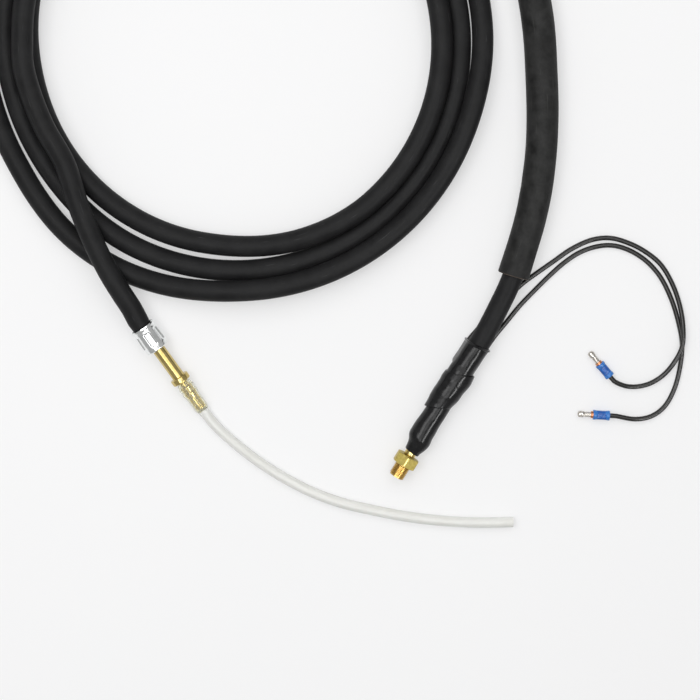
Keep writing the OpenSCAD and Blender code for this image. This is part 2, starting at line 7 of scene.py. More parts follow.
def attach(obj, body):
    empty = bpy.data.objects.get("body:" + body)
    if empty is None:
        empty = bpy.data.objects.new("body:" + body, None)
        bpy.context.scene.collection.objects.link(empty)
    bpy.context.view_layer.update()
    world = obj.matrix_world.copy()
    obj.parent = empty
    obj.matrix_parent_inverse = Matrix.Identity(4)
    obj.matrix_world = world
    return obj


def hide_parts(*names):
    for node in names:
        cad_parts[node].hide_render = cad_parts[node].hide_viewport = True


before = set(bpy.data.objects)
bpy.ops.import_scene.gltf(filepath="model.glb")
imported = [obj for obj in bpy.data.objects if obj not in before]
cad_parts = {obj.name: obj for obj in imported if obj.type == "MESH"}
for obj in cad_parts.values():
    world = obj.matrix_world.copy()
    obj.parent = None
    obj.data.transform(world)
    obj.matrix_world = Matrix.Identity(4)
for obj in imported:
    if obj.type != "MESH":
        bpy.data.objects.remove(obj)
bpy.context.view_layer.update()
scene = bpy.context.scene
print("frame loaded:", len(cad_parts), "nodes")


def linked(name, data):
    obj = bpy.data.objects.new(name, data)
    scene.collection.objects.link(obj)
    return obj


# camera, nearly straight down on the package

cameraSettings = {
    "place": (0.01094, 0.03392, 1.1956),
    "target": (0.01094, -0.12108, 0.0),
    "lens": 100.0, "sensor": 36.0, "reach": 50.0,
}


def makeCamera(s):
    data = bpy.data.cameras.new("packageCamera")
    data.lens = s["lens"]
    data.sensor_width = s["sensor"]
    data.clip_end = s["reach"]
    place, right = Vector(s["place"]), Vector((1.0, 0.0, 0.0))
    away = (place - Vector(s["target"])).normalized()
    turn = Matrix((right, away.cross(right), away)).transposed().to_4x4()
    scene.camera = linked("packageCamera", data)
    scene.camera.matrix_world = Matrix.Translation(place) @ turn


makeCamera(cameraSettings)
scene.view_settings.view_transform = "Standard"
print("camera placed")


# shared geometry helpers

def ramp(t, a, b):
    x = min(1.0, max(0.0, (t - a) / (b - a)))
    return x * x * (3.0 - 2.0 * x)


def hump(t, a, b, c, d):
    return ramp(t, a, b) - ramp(t, c, d)


# value at x of a list of (x, value) steps
def lookup(table, x):
    x = max(x, table[0][0])
    for (x0, y0), (x1, y1) in zip(table, table[1:]):
        if x <= x1:
            return y0 + (y1 - y0) * (x - x0) / (x1 - x0)
    return table[-1][1]


def alongLengths(path):
    lengths = [0.0]
    for a, b in zip(path, path[1:]):
        lengths.append(lengths[-1] + (b - a).length)
    return lengths


def between(t, t0, t1, a, b):
    return (t1 - t) / (t1 - t0) * a + (t - t0) / (t1 - t0) * b


denseStep = 0.0008


# centripetal curve through given points, resampled to an even spacing
def splineThrough(points, spacing):
    p = [Vector(q) for q in points]
    p = [2 * p[0] - p[1]] + p + [2 * p[-1] - p[-2]]
    dense = []
    for a, b, c, d in zip(p, p[1:], p[2:], p[3:]):
        t1 = math.sqrt((b - a).length)
        t2 = t1 + math.sqrt((c - b).length)
        t3 = t2 + math.sqrt((d - c).length)
        count = max(2, int((c - b).length / denseStep))
        for k in range(count):
            t = t1 + (t2 - t1) * k / count
            bc = between(t, t1, t2, b, c)
            abc = between(t, 0.0, t2, between(t, 0.0, t1, a, b), bc)
            bcd = between(t, t1, t3, bc, between(t, t2, t3, c, d))
            dense.append(between(t, t1, t2, abc, bcd))
    dense.append(p[-2])
    total = alongLengths(dense)
    count = max(2, round(total[-1] / spacing))
    out, j = [], 0
    for k in range(count + 1):
        goal = total[-1] * k / count
        while j < len(total) - 2 and total[j + 1] < goal:
            j += 1
        part = (goal - total[j]) / max(1e-12, total[j + 1] - total[j])
        out.append(dense[j].lerp(dense[j + 1], min(1.0, part)))
    return out


# level and upright directions across a path, at each of its points
def pathFrames(path):
    frames = []
    for before, after in zip(path[:1] + path, path[1:] + path[-1:]):
        ahead = (after - before).normalized()
        side = Vector((ahead.y, -ahead.x, 0.0)).normalized()
        frames.append((side, side.cross(ahead)))
    return frames


softAngle = 38.0
closingRow = 0.001


# closed skin over rings of points, with a UV map in metres: round the piece, and along it
def loft(name, rings, along, girth, sharp):
    n, m = len(rings[0]), len(rings)
    faces, uvs = [], []
    for i in range(m):
        a, b = i * n, ((i + 1) % m) * n
        va = along[i]
        vb = along[i + 1] if i + 1 < m else along[i] + closingRow
        for k in range(n):
            l = (k + 1) % n
            faces.append((a + k, a + l, b + l, b + k))
            ua, ub = girth * k / n, girth * (k + 1) / n
            uvs += [(ua, va), (ub, va), (ub, vb), (ua, vb)]
    mesh = bpy.data.meshes.new(name)
    mesh.from_pydata([tuple(v) for ring in rings for v in ring], [], faces)
    layer = mesh.uv_layers.new(name="UVMap")
    layer.data.foreach_set("uv", [c for uv in uvs for c in uv])
    return finishMesh(name, mesh, sharp)


def finishMesh(name, mesh, sharp=softAngle):
    bm = bmesh.new()
    bm.from_mesh(mesh)
    bmesh.ops.remove_doubles(bm, verts=bm.verts, dist=1e-7)
    bmesh.ops.recalc_face_normals(bm, faces=bm.faces)
    bm.to_mesh(mesh)
    bm.free()
    mesh.polygons.foreach_set("use_smooth", [True] * len(mesh.polygons))
    mesh.set_sharp_from_angle(angle=math.radians(sharp))
    return linked(name, mesh)


# tube along a path; radius and bore are functions of (length along, angle)
def tube(name, path, radius, bore, sides, sharp=softAngle):
    along, frames, rows = alongLengths(path), pathFrames(path), range(len(path))
    angles = [2.0 * math.pi * k / sides - math.pi / 2.0 for k in range(sides)]

    def ringAt(i, size):
        side, up = frames[i]
        return [path[i] + size(along[i], a) * (math.cos(a) * side + math.sin(a) * up)
                for a in angles]

    rings = [ringAt(i, radius) for i in rows] + [ringAt(i, bore) for i in reversed(rows)]
    lengths = along + [2 * (along[-1] + closingRow) - s for s in reversed(along)]
    girth = 2.0 * math.pi * radius(along[len(along) // 2], 0.0)
    return loft(name, rings, lengths, girth, sharp)


# an axis in the row frame: w runs outwards along it, side is level and up is above it
class Place:

    def __init__(self, origin, heading, tilt=0.0):
        h, t = math.radians(heading), math.radians(tilt)
        self.origin = Vector(origin)
        self.out = Vector((math.cos(t) * math.cos(h), math.cos(t) * math.sin(h), -math.sin(t)))
        self.side = Vector((-self.out.y, self.out.x, 0.0)).normalized()
        self.up = self.out.cross(self.side)

    def at(self, w, r=0.0, a=0.0):
        return self.origin + w * self.out + r * (math.cos(a) * self.side + math.sin(a) * self.up)

    # how far out along the axis a point lies, and how far from it
    def measure(self, point):
        away = point - self.origin
        w = away.dot(self.out)
        return w, (away - w * self.out).length


# the same outline with each corner eased
def rounded(profile, size, steps=3):
    out = []
    n = len(profile)
    for i, (r, w) in enumerate(profile):
        here = Vector((r, w))
        before, after = Vector(profile[i - 1]), Vector(profile[(i + 1) % n])
        a, b = before - here, after - here
        if r <= 1e-9 or a.length < 1e-9 or b.length < 1e-9:
            out.append((r, w))
            continue
        cut = min(size, 0.45 * a.length, 0.45 * b.length)
        p, q = here + a.normalized() * cut, here + b.normalized() * cut
        for k in range(steps + 1):
            t = k / steps
            out.append(tuple((1 - t) ** 2 * p + 2 * t * (1 - t) * here + t * t * q))
    return out


# a piece turned from a closed outline of (radius, w); shape may change the radius
def turned(name, place, profile, sides=96, ease=0.00015, shape=None, sharp=32.0):
    outline = rounded(profile, ease) if ease else profile
    angles = [2.0 * math.pi * k / sides for k in range(sides)]
    rings = [[place.at(w, shape(r, w, a) if shape else r, a) for a in angles] for r, w in outline]
    girth = 2.0 * math.pi * max(r for r, w in outline)
    return loft(name, rings, alongLengths([Vector(p) for p in outline]), girth, sharp)


# the same outline with long edges split, so that a shape function can work on them
def finer(profile, step):
    out = []
    for a, b in zip(profile, profile[1:] + profile[:1]):
        a, b = Vector(a), Vector(b)
        count = max(1, math.ceil((b - a).length / step))
        out += [tuple(a.lerp(b, k / count)) for k in range(count)]
    return out


# materials

# plain values go on the sockets themselves, other sockets are linked
def feed(tree, node, sockets):
    for key, value in sockets.items():
        if isinstance(value, bpy.types.NodeSocket):
            tree.links.new(value, node.inputs[key])
        else:
            node.inputs[key].default_value = value


def added(tree, kind, sockets, **settings):
    node = tree.nodes.new(kind)
    for key, value in settings.items():
        setattr(node, key, value)
    feed(tree, node, sockets)
    return node


def maths(tree, operation, a, b, clamp=False):
    node = added(tree, "ShaderNodeMath", {0: a, 1: b}, operation=operation, use_clamp=clamp)
    return node.outputs[0]


def startMaterial(name):
    mat = bpy.data.materials.new(name)
    mat.use_nodes = True
    return mat, mat.node_tree, mat.node_tree.nodes["Principled BSDF"]


even = (1.0, 1.0, 1.0)


def scaled(tree, source, scale=even, turn=0.0):
    coords = tree.nodes.new("ShaderNodeTexCoord")
    return added(tree, "ShaderNodeMapping", {
        "Vector": coords.outputs[source], "Scale": scale,
        "Rotation": (0.0, 0.0, turn)}).outputs["Vector"]


def noiseAt(tree, vector, scale, detail=3.0, rough=0.55, distortion=0.0):
    return added(tree, "ShaderNodeTexNoise", {
        "Vector": vector, "Scale": scale, "Detail": detail, "Roughness": rough,
        "Distortion": distortion}).outputs["Fac"]


def ranged(tree, value, low, high, start=0.0, end=1.0):
    return added(tree, "ShaderNodeMapRange", {
        "Value": value, "From Min": start, "From Max": end, "To Min": low,
        "To Max": high}).outputs["Result"]


# from the dark to the light colour as the value goes from low to high
def toned(tree, s, value, low=0.3, high=0.7):
    node = added(tree, "ShaderNodeValToRGB", {"Fac": value})
    stops = ((low, s["dark"]), (high, s["light"]))
    for element, (place, colour) in zip(node.color_ramp.elements, stops):
        element.position = place
        element.color = (*colour, 1.0)
    return node.outputs["Color"]


def roughened(tree, s, value, low=0.3, high=0.7):
    return ranged(tree, value, *s["rough"], low, high)


# layers of (height, distance, strength), coarsest first
def bumped(tree, *layers):
    under = {}
    for height, distance, strength in layers:
        node = added(tree, "ShaderNodeBump", {
            "Height": height, "Distance": distance, "Strength": strength, **under})
        under = {"Normal": node.outputs["Normal"]}
    return under["Normal"]


# extruded rubber: mottled black, wrap marks slanting round it, fine grain and pale scuffs
def rubberMaterial(name, s):
    mat, tree, shader = startMaterial(name)
    flat = scaled(tree, "UV")
    blotch = noiseAt(tree, flat, s["blotchScale"], 4.0, 0.6)
    grain = noiseAt(tree, flat, s["grainScale"], 2.0, 0.7)
    slant = scaled(tree, "UV", (1.0, 0.22, 1.0), s["wrapAngle"])
    wrap = noiseAt(tree, slant, s["wrapScale"], 3.0, 0.5, 0.4)
    scratch = noiseAt(tree, scaled(tree, "UV", (1.0, 0.06, 1.0), 0.35), 900.0, 2.0)
    scuffed = added(tree, "ShaderNodeMix", {
        "Factor": ranged(tree, scratch, 0.0, s["scuff"], 0.66, 0.74),
        "A": toned(tree, s, blotch, 0.3, 0.72), "B": (*s["scuffColour"], 1.0)}, data_type="RGBA")
    feed(tree, shader, {
        "Specular IOR Level": s["gloss"], "Base Color": scuffed.outputs["Result"],
        "Roughness": roughened(tree, s, blotch),
        "Normal": bumped(tree, (wrap, 0.0006, s["wrapBump"]), (blotch, 0.0008, s["blotchBump"]),
                         (grain, 0.00008, s["grainBump"]))})
    return mat


# recovered heat-shrink: glossy black with soft ripples and a few dull patches
def shrinkMaterial(name, s):
    mat, tree, shader = startMaterial(name)
    ripple = noiseAt(tree, scaled(tree, "UV", (1.0, 0.6, 1.0)), s["rippleScale"])
    haze = noiseAt(tree, scaled(tree, "UV"), s["hazeScale"], 4.0)
    feed(tree, shader, {
        "Specular IOR Level": s["gloss"], "Base Color": toned(tree, s, haze, 0.35, 0.7),
        "Roughness": roughened(tree, s, haze, 0.35, 0.7),
        "Normal": bumped(tree, (ripple, 0.0008, s["ripple"]), (haze, 0.0001, 0.2))})
    return mat


# turned or plated metal: tool marks round the piece and stains
def metalMaterial(name, s):
    mat, tree, shader = startMaterial(name)
    coords = s.get("coords", "UV")
    marks = noiseAt(tree, scaled(tree, coords, s.get("stretch", even)), s["markScale"], 2.0, 0.6)
    stain = noiseAt(tree, scaled(tree, coords), s["stainScale"], 4.0, 0.6)
    feed(tree, shader, {
        "Metallic": 1.0, "Base Color": toned(tree, s, stain, 0.3, 0.68),
        "Roughness": roughened(tree, s, stain),
        "Normal": bumped(tree, (stain, 0.0001, s["stainBump"]), (marks, 0.00004, s["markBump"]))})
    return mat


# moulded or drawn plastic: faint flow marks, uneven gloss
def plasticMaterial(name, s):
    mat, tree, shader = startMaterial(name)
    flow = noiseAt(tree, scaled(tree, "UV", (1.0, 0.25, 1.0)), s["flowScale"])
    spots = noiseAt(tree, scaled(tree, "UV"), s["spotScale"])
    feed(tree, shader, {
        "Transmission Weight": s.get("clear", 0.0), "IOR": s.get("ior", 1.46),
        "Base Color": toned(tree, s, flow), "Roughness": roughened(tree, s, spots),
        "Normal": bumped(tree, (flow, 0.0003, s["flowBump"]), (spots, 0.00006, s["spotBump"]))})
    return mat


hoseRubber = rubberMaterial("hoseRubber", {
    "gloss": 0.08, "blotchScale": 60.0, "grainScale": 3200.0, "wrapAngle": 0.7, "wrapScale": 260.0,
    "scuff": 0.5, "scuffColour": (0.055, 0.055, 0.057), "dark": (0.0125, 0.0125, 0.013),
    "light": (0.021, 0.021, 0.0215), "rough": (0.4, 0.52), "wrapBump": 0.3, "blotchBump": 0.15,
    "grainBump": 0.3})
sleeveRubber = rubberMaterial("sleeveRubber", {
    "gloss": 0.13, "blotchScale": 110.0, "grainScale": 2400.0, "wrapAngle": -0.6,
    "wrapScale": 120.0, "scuff": 0.5, "scuffColour": (0.055, 0.055, 0.053),
    "dark": (0.0085, 0.0085, 0.0083), "light": (0.031, 0.031, 0.0305), "rough": (0.45, 0.62),
    "wrapBump": 0.35, "blotchBump": 0.55, "grainBump": 0.5})
cutRubber = rubberMaterial("cutRubber", {
    "gloss": 0.3, "blotchScale": 300.0, "grainScale": 5000.0, "wrapAngle": 0.2, "wrapScale": 500.0,
    "scuff": 0.6, "scuffColour": (0.2, 0.15, 0.11), "dark": (0.05, 0.038, 0.03),
    "light": (0.11, 0.085, 0.065), "rough": (0.75, 0.9), "wrapBump": 0.2, "blotchBump": 0.4,
    "grainBump": 0.6})
shrinkBlack = shrinkMaterial("shrinkBlack", {
    "gloss": 0.24, "rippleScale": 130.0, "hazeScale": 240.0, "dark": (0.007, 0.007, 0.0075),
    "light": (0.0125, 0.0125, 0.013), "rough": (0.15, 0.25), "ripple": 0.06})
wirePvc = plasticMaterial("wirePvc", {
    "flowScale": 500.0, "spotScale": 1500.0, "dark": (0.008, 0.0073, 0.0065),
    "light": (0.0145, 0.0132, 0.0118), "rough": (0.12, 0.2), "flowBump": 0.05, "spotBump": 0.1})
clearPvc = plasticMaterial("clearPvc", {
    "clear": 0.25, "flowScale": 220.0, "spotScale": 700.0, "dark": (0.9, 0.9, 0.855),
    "light": (0.97, 0.97, 0.94), "rough": (0.15, 0.25), "flowBump": 0.01, "spotBump": 0.02})
stretchedPvc = plasticMaterial("stretchedPvc", {
    "clear": 0.88, "ior": 1.12, "flowScale": 260.0, "spotScale": 700.0, "dark": (0.95, 0.94, 0.79),
    "light": (0.98, 0.98, 0.88), "rough": (0.07, 0.12), "flowBump": 0.005, "spotBump": 0.005})
crimpBlue = plasticMaterial("crimpBlue", {
    "flowScale": 700.0, "spotScale": 1600.0, "dark": (0.006, 0.06, 0.31),
    "light": (0.018, 0.145, 0.51), "rough": (0.24, 0.38), "flowBump": 0.12, "spotBump": 0.15})
flaredBlue = plasticMaterial("flaredBlue", {
    "clear": 0.1, "flowScale": 700.0, "spotScale": 1600.0, "dark": (0.02, 0.14, 0.5),
    "light": (0.06, 0.27, 0.72), "rough": (0.2, 0.32), "flowBump": 0.08, "spotBump": 0.1})
turnedBrass = metalMaterial("turnedBrass", {
    "stretch": (0.02, 1.0, 1.0), "markScale": 5000.0, "stainScale": 180.0,
    "dark": (0.49, 0.37, 0.125), "light": (0.68, 0.545, 0.24), "rough": (0.11, 0.18),
    "stainBump": 0.01, "markBump": 0.05})
dullBrass = metalMaterial("dullBrass", {
    "markScale": 5200.0, "stainScale": 700.0,
    "dark": (0.42, 0.33, 0.085), "light": (0.6, 0.49, 0.15), "rough": (0.4, 0.55),
    "stainBump": 0.2, "markBump": 0.5})
threadBrass = metalMaterial("threadBrass", {
    "coords": "Object", "markScale": 2600.0, "stainScale": 400.0,
    "dark": (0.5, 0.33, 0.09), "light": (0.64, 0.45, 0.15), "rough": (0.25, 0.3),
    "stainBump": 0.01, "markBump": 0.03})
zincPlate = metalMaterial("zincPlate", {
    "stretch": (1.0, 0.2, 1.0), "markScale": 2600.0, "stainScale": 320.0,
    "dark": (0.76, 0.78, 0.77), "light": (0.9, 0.91, 0.91), "rough": (0.12, 0.18),
    "stainBump": 0.02, "markBump": 0.04})
tinPlate = metalMaterial("tinPlate", {
    "stretch": (0.1, 1.0, 1.0), "markScale": 4000.0, "stainScale": 900.0,
    "dark": (0.34, 0.3, 0.25), "light": (0.82, 0.8, 0.76), "rough": (0.16, 0.26),
    "stainBump": 0.05, "markBump": 0.08})
bareCopper = metalMaterial("bareCopper", {
    "coords": "Object", "markScale": 3000.0, "stainScale": 500.0,
    "dark": (0.46, 0.17, 0.075), "light": (0.72, 0.34, 0.18), "rough": (0.26, 0.44),
    "stainBump": 0.15, "markBump": 0.2})
print("materials made")


# one plain mesh from a tree; a route gives it a line to follow and its thickness along it
def bakeTree(name, tree, values, route=(), thickness=()):
    start = bpy.data.meshes.new(name + "Holder")
    start.from_pydata([tuple(p) for p in route], [(i, i + 1) for i in range(len(route) - 1)], [])
    start.attributes.new("thickness", "FLOAT", "POINT").data.foreach_set("value", thickness)
    holder = linked(name + "Holder", start)
    modifier = holder.modifiers.new("build", "NODES")
    modifier.node_group = tree
    for item in tree.interface.items_tree:
        if item.in_out == "INPUT" and item.name in values:
            modifier[item.identifier] = values[item.name]
    graph = bpy.context.evaluated_depsgraph_get()
    mesh = bpy.data.meshes.new_from_object(holder.evaluated_get(graph), depsgraph=graph)
    bpy.data.objects.remove(holder)
    return mesh


def startTree(name, inputs):
    tree = bpy.data.node_groups.new(name, "GeometryNodeTree")
    tree.interface.new_socket("Geometry", in_out="OUTPUT", socket_type="NodeSocketGeometry")
    for label, kind, value in inputs:
        socket = tree.interface.new_socket(label, in_out="INPUT", socket_type="NodeSocket" + kind)
        if value is not None:
            socket.default_value = value
    return tree, tree.nodes.new("NodeGroupInput")


def endTree(tree, given, geometry):
    real = added(tree, "GeometryNodeRealizeInstances", {0: geometry})
    finish = added(tree, "GeometryNodeSetMaterial", {
        "Geometry": real.outputs[0], "Material": given.outputs["Finish"]})
    added(tree, "NodeGroupOutput", {0: finish.outputs[0]})
    return tree


# a profile drawn along an upright line
def drawAlong(tree, line, profile):
    upright = added(tree, "GeometryNodeSetCurveNormal", {"Curve": line}, mode="Z_UP")
    return added(tree, "GeometryNodeCurveToMesh", {
        "Curve": upright.outputs[0], "Profile Curve": profile, "Fill Caps": True})


def sweepTree():
    tree, given = startTree("extrudedRound", [
        ("Route", "Geometry", None), ("Radius", "Float", 0.0065), ("Sides", "Int", 36),
        ("Finish", "Material", None)])
    line = added(tree, "GeometryNodeMeshToCurve", {0: given.outputs["Route"]})
    ring = added(tree, "GeometryNodeCurvePrimitiveCircle", {
        "Resolution": given.outputs["Sides"], "Radius": given.outputs["Radius"]})
    thickness = added(tree, "GeometryNodeInputNamedAttribute", {"Name": "thickness"},
                      data_type="FLOAT")
    draw = drawAlong(tree, line.outputs[0], ring.outputs[0])
    feed(tree, draw, {"Scale": thickness.outputs["Attribute"]})
    return endTree(tree, given, draw.outputs[0])


extrudedRound = sweepTree()


# round rubber along a path, with its UV map in metres and the seam underneath
def swept(name, path, radius, sides, finish, thickness):
    mesh = bakeTree(name, extrudedRound, {"Radius": radius, "Sides": sides, "Finish": finish},
                    path, thickness)
    along, step = alongLengths(path), 2.0 * math.pi * radius / sides
    layer = mesh.uv_layers.new(name="UVMap").data
    for polygon in mesh.polygons:
        columns = [(sides // 4 - v) % sides for v in polygon.vertices]
        seam = len(columns) == 4 and max(columns) - min(columns) > 1
        for loop, v, column in zip(polygon.loop_indices, polygon.vertices, columns):
            if len(columns) > 4:
                layer[loop].uv = mesh.vertices[v].co.xy
            else:
                layer[loop].uv = ((sides if seam and column == 0 else column) * step,
                                  along[v // sides])
    return finishMesh(name, mesh)


def dress(obj, material, body, slotName, *nodes):
    obj.data.materials.clear()
    obj.data.materials.append(material)
    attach(obj, body)
    if nodes:
        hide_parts(*nodes)
    return obj


# one more material, on the faces whose centre passes the test
def paint(obj, material, test):
    obj.data.materials.append(material)
    for face in obj.data.polygons:
        if test(face.center):
            face.material_index = len(obj.data.materials) - 1


# the power cable, one hose from the crimped fitting round the coil to the connector

hoseSettings = {
    "radius": 0.0065, "crimpedRadius": 0.0056, "crimps": (0.0145, 0.0175, 0.0165, 0.0135),
    "uneven": 0.006, "spacing": 0.004, "sides": 36, "fittingDepths": (0.0015, 0.009, 0.02),
    "connectorDepths": (0.0907, 0.069, 0.0479), "leadIn": 0.013, "sleevedHeight": 0.00915,
    "sleeveExit": (0.101, -0.0955, 0.0099),
}
# an angle or distance, then where it fades in and out, in turns from the coil's start
coilSettings = {
    "centre": (-0.057, 0.067), "radius": 0.1143, "pitch": 0.0136, "turns": 3.25,
    "pointsPerTurn": 48, "rolls": [(-58.0, 0.0, 0.5), (-32.0, 0.64, 0.77)],
    "lean": (30.0, 2.45, 2.56, 2.74, 2.82),
    "slack": [(0.003, 2.76, 2.84, 2.85, 2.93), (-0.002, 0.7, 0.78, 0.95, 1.08),
              (-0.002, 1.82, 1.92, 1.94, 2.06), (-0.0012, 2.86, 2.93, 2.95, 3.05)],
}
hoseFitting = Place((-0.107, -0.119, 0.0097198), -55.5, 6.5)
connector = Place((0.04395, -0.19156, 0.00925), 238.5)


def coilPoint(t, s):
    roll = math.radians(sum(angle * ramp(t, *span) for angle, *span in s["rolls"]))
    lean = math.radians(s["lean"][0] * hump(t, *s["lean"][1:]))
    slack = sum(distance * hump(t, *span) for distance, *span in s["slack"])
    p = s["pitch"]
    r = s["radius"] + p * t + p * (1 + math.sin(roll)) - p * (1 - math.cos(lean)) + slack
    z = hoseSettings["radius"] + p * math.cos(roll) + p * math.sin(lean)
    a = math.radians(180.0 - 360.0 * t)
    return Vector((s["centre"][0] + r * math.cos(a), s["centre"][1] + r * math.sin(a), z))


leftRoute = [
    (-0.181, 0.038, 1), (-0.173, 0.017, 1), (-0.161, -0.005, 1.01), (-0.1535, -0.029, 1.02),
    (-0.145, -0.051, 1.02), (-0.138, -0.066, 1), (-0.133, -0.0755, 0.93),
    (-0.128, -0.0845, 0.74), (-0.1225, -0.094, 0.51),
]
rightRouteTop = [(-0.014, 0.226), (0.018, 0.219, 0.00676), (0.05, 0.202, 0.0088)]
sleevedRoute = [
    (0.074, 0.184), (0.098, 0.155), (0.114, 0.121), (0.123, 0.086), (0.1265, 0.05),
    (0.1275, 0.02), (0.126, -0.008, 0.00932), (0.1207, -0.04, 0.00966), (0.1107, -0.074, 0.01),
]


# points of a route; one without a height has the usual one
def laid(route, height):
    return [Vector((p[0], p[1], p[2] if len(p) > 2 else height)) for p in route]


def hoseRoute():
    s, c = hoseSettings, coilSettings
    points = [hoseFitting.at(-depth) for depth in s["fittingDepths"]]
    points += [Vector((x, y, s["radius"] + f * c["pitch"])) for x, y, f in reversed(leftRoute)]
    start = coilPoint(0.0, c)
    points.append(start - s["leadIn"] * (coilPoint(0.002, c) - start).normalized())
    count = int(c["turns"] * c["pointsPerTurn"])
    points += [coilPoint(i / c["pointsPerTurn"], c) for i in range(count + 1)]
    end = points[-1]
    points.append(end + s["leadIn"] * (end - coilPoint(c["turns"] - 0.002, c)).normalized())
    points += laid(rightRouteTop, s["radius"]) + laid(sleevedRoute, s["sleevedHeight"])
    points.append(Vector(s["sleeveExit"]))
    points += [connector.at(-depth) for depth in s["connectorDepths"]]
    return splineThrough(points, s["spacing"])


def makeHose():
    s = hoseSettings
    path = hoseRoute()
    along = alongLengths(path)
    total = along[-1]
    c = s["crimps"]
    thickness = []
    for v in along:
        crimped = 1.0 - ramp(v, c[0], c[1]) + ramp(v, total - c[2], total - c[3])
        plain = 1.0 - crimped * (1.0 - s["crimpedRadius"] / s["radius"])
        thickness.append(plain * (1.0 + s["uneven"] * noise.noise(Vector((v * 22.0, 0.4, 0.0)))))
    hose = swept("powerHose", path, s["radius"], s["sides"], hoseRubber, thickness)
    dress(hose, hoseRubber, "body", "hose_rubber",
          "cable_coil", "cable_lead_left", "cable_lead_right")
    print("hose length", round(total, 3))
    return hose, path, total


powerHose, hosePath, hoseTotal = makeHose()


# the loose sleeve over the right lead

sleeveSettings = {
    "radius": 0.01, "wall": 0.0015, "sides": 60, "spacing": 0.002, "cutWidth": 0.0005,
    "swell": 0.00035, "flatDepth": 0.0004, "flat": (0.05, 0.058, 0.075, 0.1),
    # each crease: depth, distance from the near end, slant and width
    "creases": [(0.0011, 0.05, 0.006, 0.0032), (0.0006, 0.022, -0.004, 0.003)],
}


def makeSleeve():
    s = sleeveSettings
    path = splineThrough([(p[0], p[1], s["radius"]) for p in sleevedRoute], s["spacing"])
    path.insert(-1, path[-1].lerp(path[-2], s["cutWidth"] / s["spacing"]))
    path.insert(1, path[0].lerp(path[1], s["cutWidth"] / s["spacing"]))
    total = alongLengths(path)[-1]

    def skin(v, a):
        near, across = total - v, math.sin(a)
        dent = sum(depth * math.exp(-((near - place - slant * math.cos(a)) / width) ** 2)
                   for depth, place, slant, width in s["creases"])
        dent += s["flatDepth"] * ramp(near, *s["flat"][:2]) * (1.0 - ramp(near, *s["flat"][2:]))
        swell = noise.noise(Vector((v * 38.0, 1.3 * math.cos(a), 1.3 * across + 4.0))) - 1.0
        sag = s["swell"] * swell - dent * max(0.0, math.sin(a + 0.3))
        return s["radius"] + sag * min(1.0, max(0.25, across + 0.9))

    def outer(v, a):
        cut = ramp(v, s["cutWidth"], 0.0) + ramp(v, total - s["cutWidth"], total)
        return skin(v, a) - s["cutWidth"] * cut

    def inner(v, a):
        return skin(v, a) - s["wall"]

    sleeve = tube("looseSleeve", path, outer, inner, s["sides"])
    dress(sleeve, sleeveRubber, "body", "sleeve_rubber", "outer_sleeve")
    ends = [(path[0], path[1] - path[0]), (path[-1], path[-1] - path[-2])]
    paint(sleeve, cutRubber, lambda centre: any(
        abs(way.normalized().dot(centre - point)) < 0.9 * s["cutWidth"] for point, way in ends))
    return sleeve


looseSleeve = makeSleeve()
print("hose and sleeve made")


# crimped ferrule on the hose end

ferruleSettings = {
    "length": 0.017, "radius": 0.0075, "lip": 0.00033, "lipWidth": 0.0009, "wall": 0.0006,
    "hole": 0.00408, "floorThick": 0.0013, "roundedEnd": 0.0011, "marks": 6, "markDepth": 0.0008,
    "markHalfAngle": 15.0, "angleEdge": 4.0, "markHalfLength": 0.0042, "markTurn": 26.0,
    "sides": 192, "row": 0.00022,
}


def makeFerrule():
    s = ferruleSettings
    length, mid = s["length"], -s["length"] / 2
    half, edge, halfLength = s["markHalfAngle"], s["angleEdge"], s["markHalfLength"]

    def pressed(w, a):
        step = 2 * math.pi / s["marks"]
        off = (a - math.radians(s["markTurn"]) + step / 2) % step - step / 2
        across = 1.0 - ramp(abs(math.degrees(off)), half - edge, half + edge)
        return across * (1.0 - ramp(abs(w - mid), halfLength - 0.0006, halfLength + 0.001))

    # the outline's radii only tell the surfaces apart
    def shape(r, w, a):
        if r < 0.0055:
            return r
        lips = math.exp(-((w + length - 0.0008) / s["lipWidth"]) ** 2)
        swollen = s["radius"] + s["lip"] * lips + 0.0001 * math.sin((w - mid) * 500.0)
        outer = swollen - s["markDepth"] * pressed(w, a)
        outer -= s["roundedEnd"] * ramp(w, -s["roundedEnd"], 0.0) ** 2
        if r < 0.0068:
            return outer - s["wall"] * (1.0 if w > -0.0165 else 0.8)
        return outer

    inside = -s["floorThick"]
    outline = [(s["hole"], 0.0), (0.0057, 0.0), (0.007, -0.0002), (0.007, -length + 0.0001),
               (0.0066, -length), (0.0066, inside), (s["hole"], inside)]
    ferrule = turned("crimpFerrule", hoseFitting, finer(outline, s["row"]), s["sides"], ease=0.0,
                     shape=shape)
    dress(ferrule, zincPlate, "body", "plated_steel", "hose_ferrule")


makeFerrule()


# brass stem with its collar and the barb inside the clear tube

stemSettings = {
    "radius": 0.004, "length": 0.0215, "collarRadius": 0.006, "collarLength": 0.0038,
    "barbRadius": 0.004, "barbLength": 0.021, "gasBore": 0.0015, "tailRadius": 0.0041,
    "tailBore": 0.0029, "tailEnd": -0.016, "tailStep": 0.0036, "bevel": 0.0004,
    "socketRadius": 0.0025, "socketEnd": 0.0075,
}


